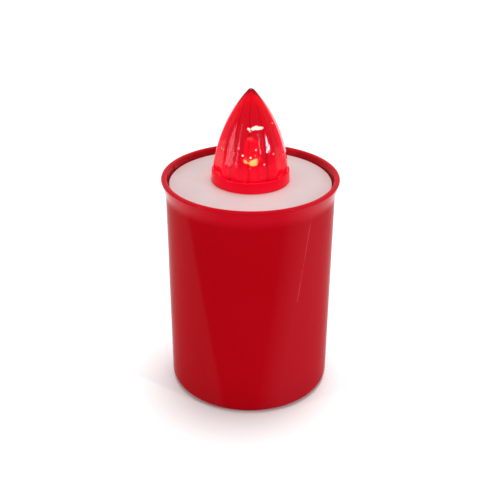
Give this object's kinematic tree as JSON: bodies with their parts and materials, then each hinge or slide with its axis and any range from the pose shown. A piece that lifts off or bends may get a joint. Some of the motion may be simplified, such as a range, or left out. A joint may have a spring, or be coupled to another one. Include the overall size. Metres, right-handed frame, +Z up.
{
  "type": "flameless led candle",
  "caption": "Battery grave-light candle: red plastic cup, milky top plate and clear red fluted flame with an LED, over a cell cradle that lifts out as one insert.",
  "frame": {"origin": "centre of the foot, in the plane that the candle stands on", "axes": "+Z up along the candle's axis, -Y towards the front, where the ON/OFF switch is underneath, +X to the right"},
  "size_m": [0.067, 0.067, 0.1204],
  "materials": {
    "cup_red": "gloss",
    "plate_white": "satin",
    "collar_red": "gloss",
    "lens_red": "gloss",
    "led_clear": "gloss",
    "white_plastic": "satin",
    "board_green": "satin",
    "chip_black": "matte",
    "resistor_tan": "satin",
    "capacitor_sleeve": "gloss",
    "steel": "satin",
    "cell_can": "satin",
    "tinned_steel": "satin",
    "cradle_black": "satin",
    "cell_sleeve": "gloss",
    "switch_brown": "matte",
    "contact_brass": "satin",
    "knob_black": "satin",
    "wire_red": "satin",
    "wire_white": "satin",
    "wire_black": "satin"
  },
  "bodies": {
    "cup": {"cup": "cup_red"},
    "insert": {"top_plate": "plate_white", "flame_collar": "collar_red", "flame_lens": "lens_red", "led": "led_clear", "led_leads": "tinned_steel", "led_post": "white_plastic", "circuit_board": "board_green", "flicker_chip": "chip_black", "resistor": "resistor_tan", "capacitor": "capacitor_sleeve", "board_screws": "steel", "battery_cradle": "cradle_black", "cradle_screws": "steel", "cell_left": "cell_can", "cell_left_sleeve": "cell_sleeve", "cell_right": "cell_can", "cell_right_sleeve": "cell_sleeve", "bridge_plate": "tinned_steel", "bridge_spring": "tinned_steel", "positive_contact": "tinned_steel", "negative_contact": "tinned_steel", "negative_spring": "tinned_steel", "switch_frame": "steel", "switch_base": "switch_brown", "switch_pins": "contact_brass", "switch_screws": "steel", "wire_red": "wire_red", "wire_white": "wire_white", "wire_black": "wire_black"},
    "switch": {"switch_knob": "knob_black", "switch_wiper": "contact_brass"}
  },
  "joints": [
    {"name": "insert_lift", "type": "slide", "parent": "cup", "child": "insert", "axis": [0, 0, 1], "range_m": [0, 0.09]},
    {"name": "switch_slide", "type": "slide", "parent": "insert", "child": "switch", "axis": [1, 0, 0], "range_m": [-0.003, 0]}
  ]
}
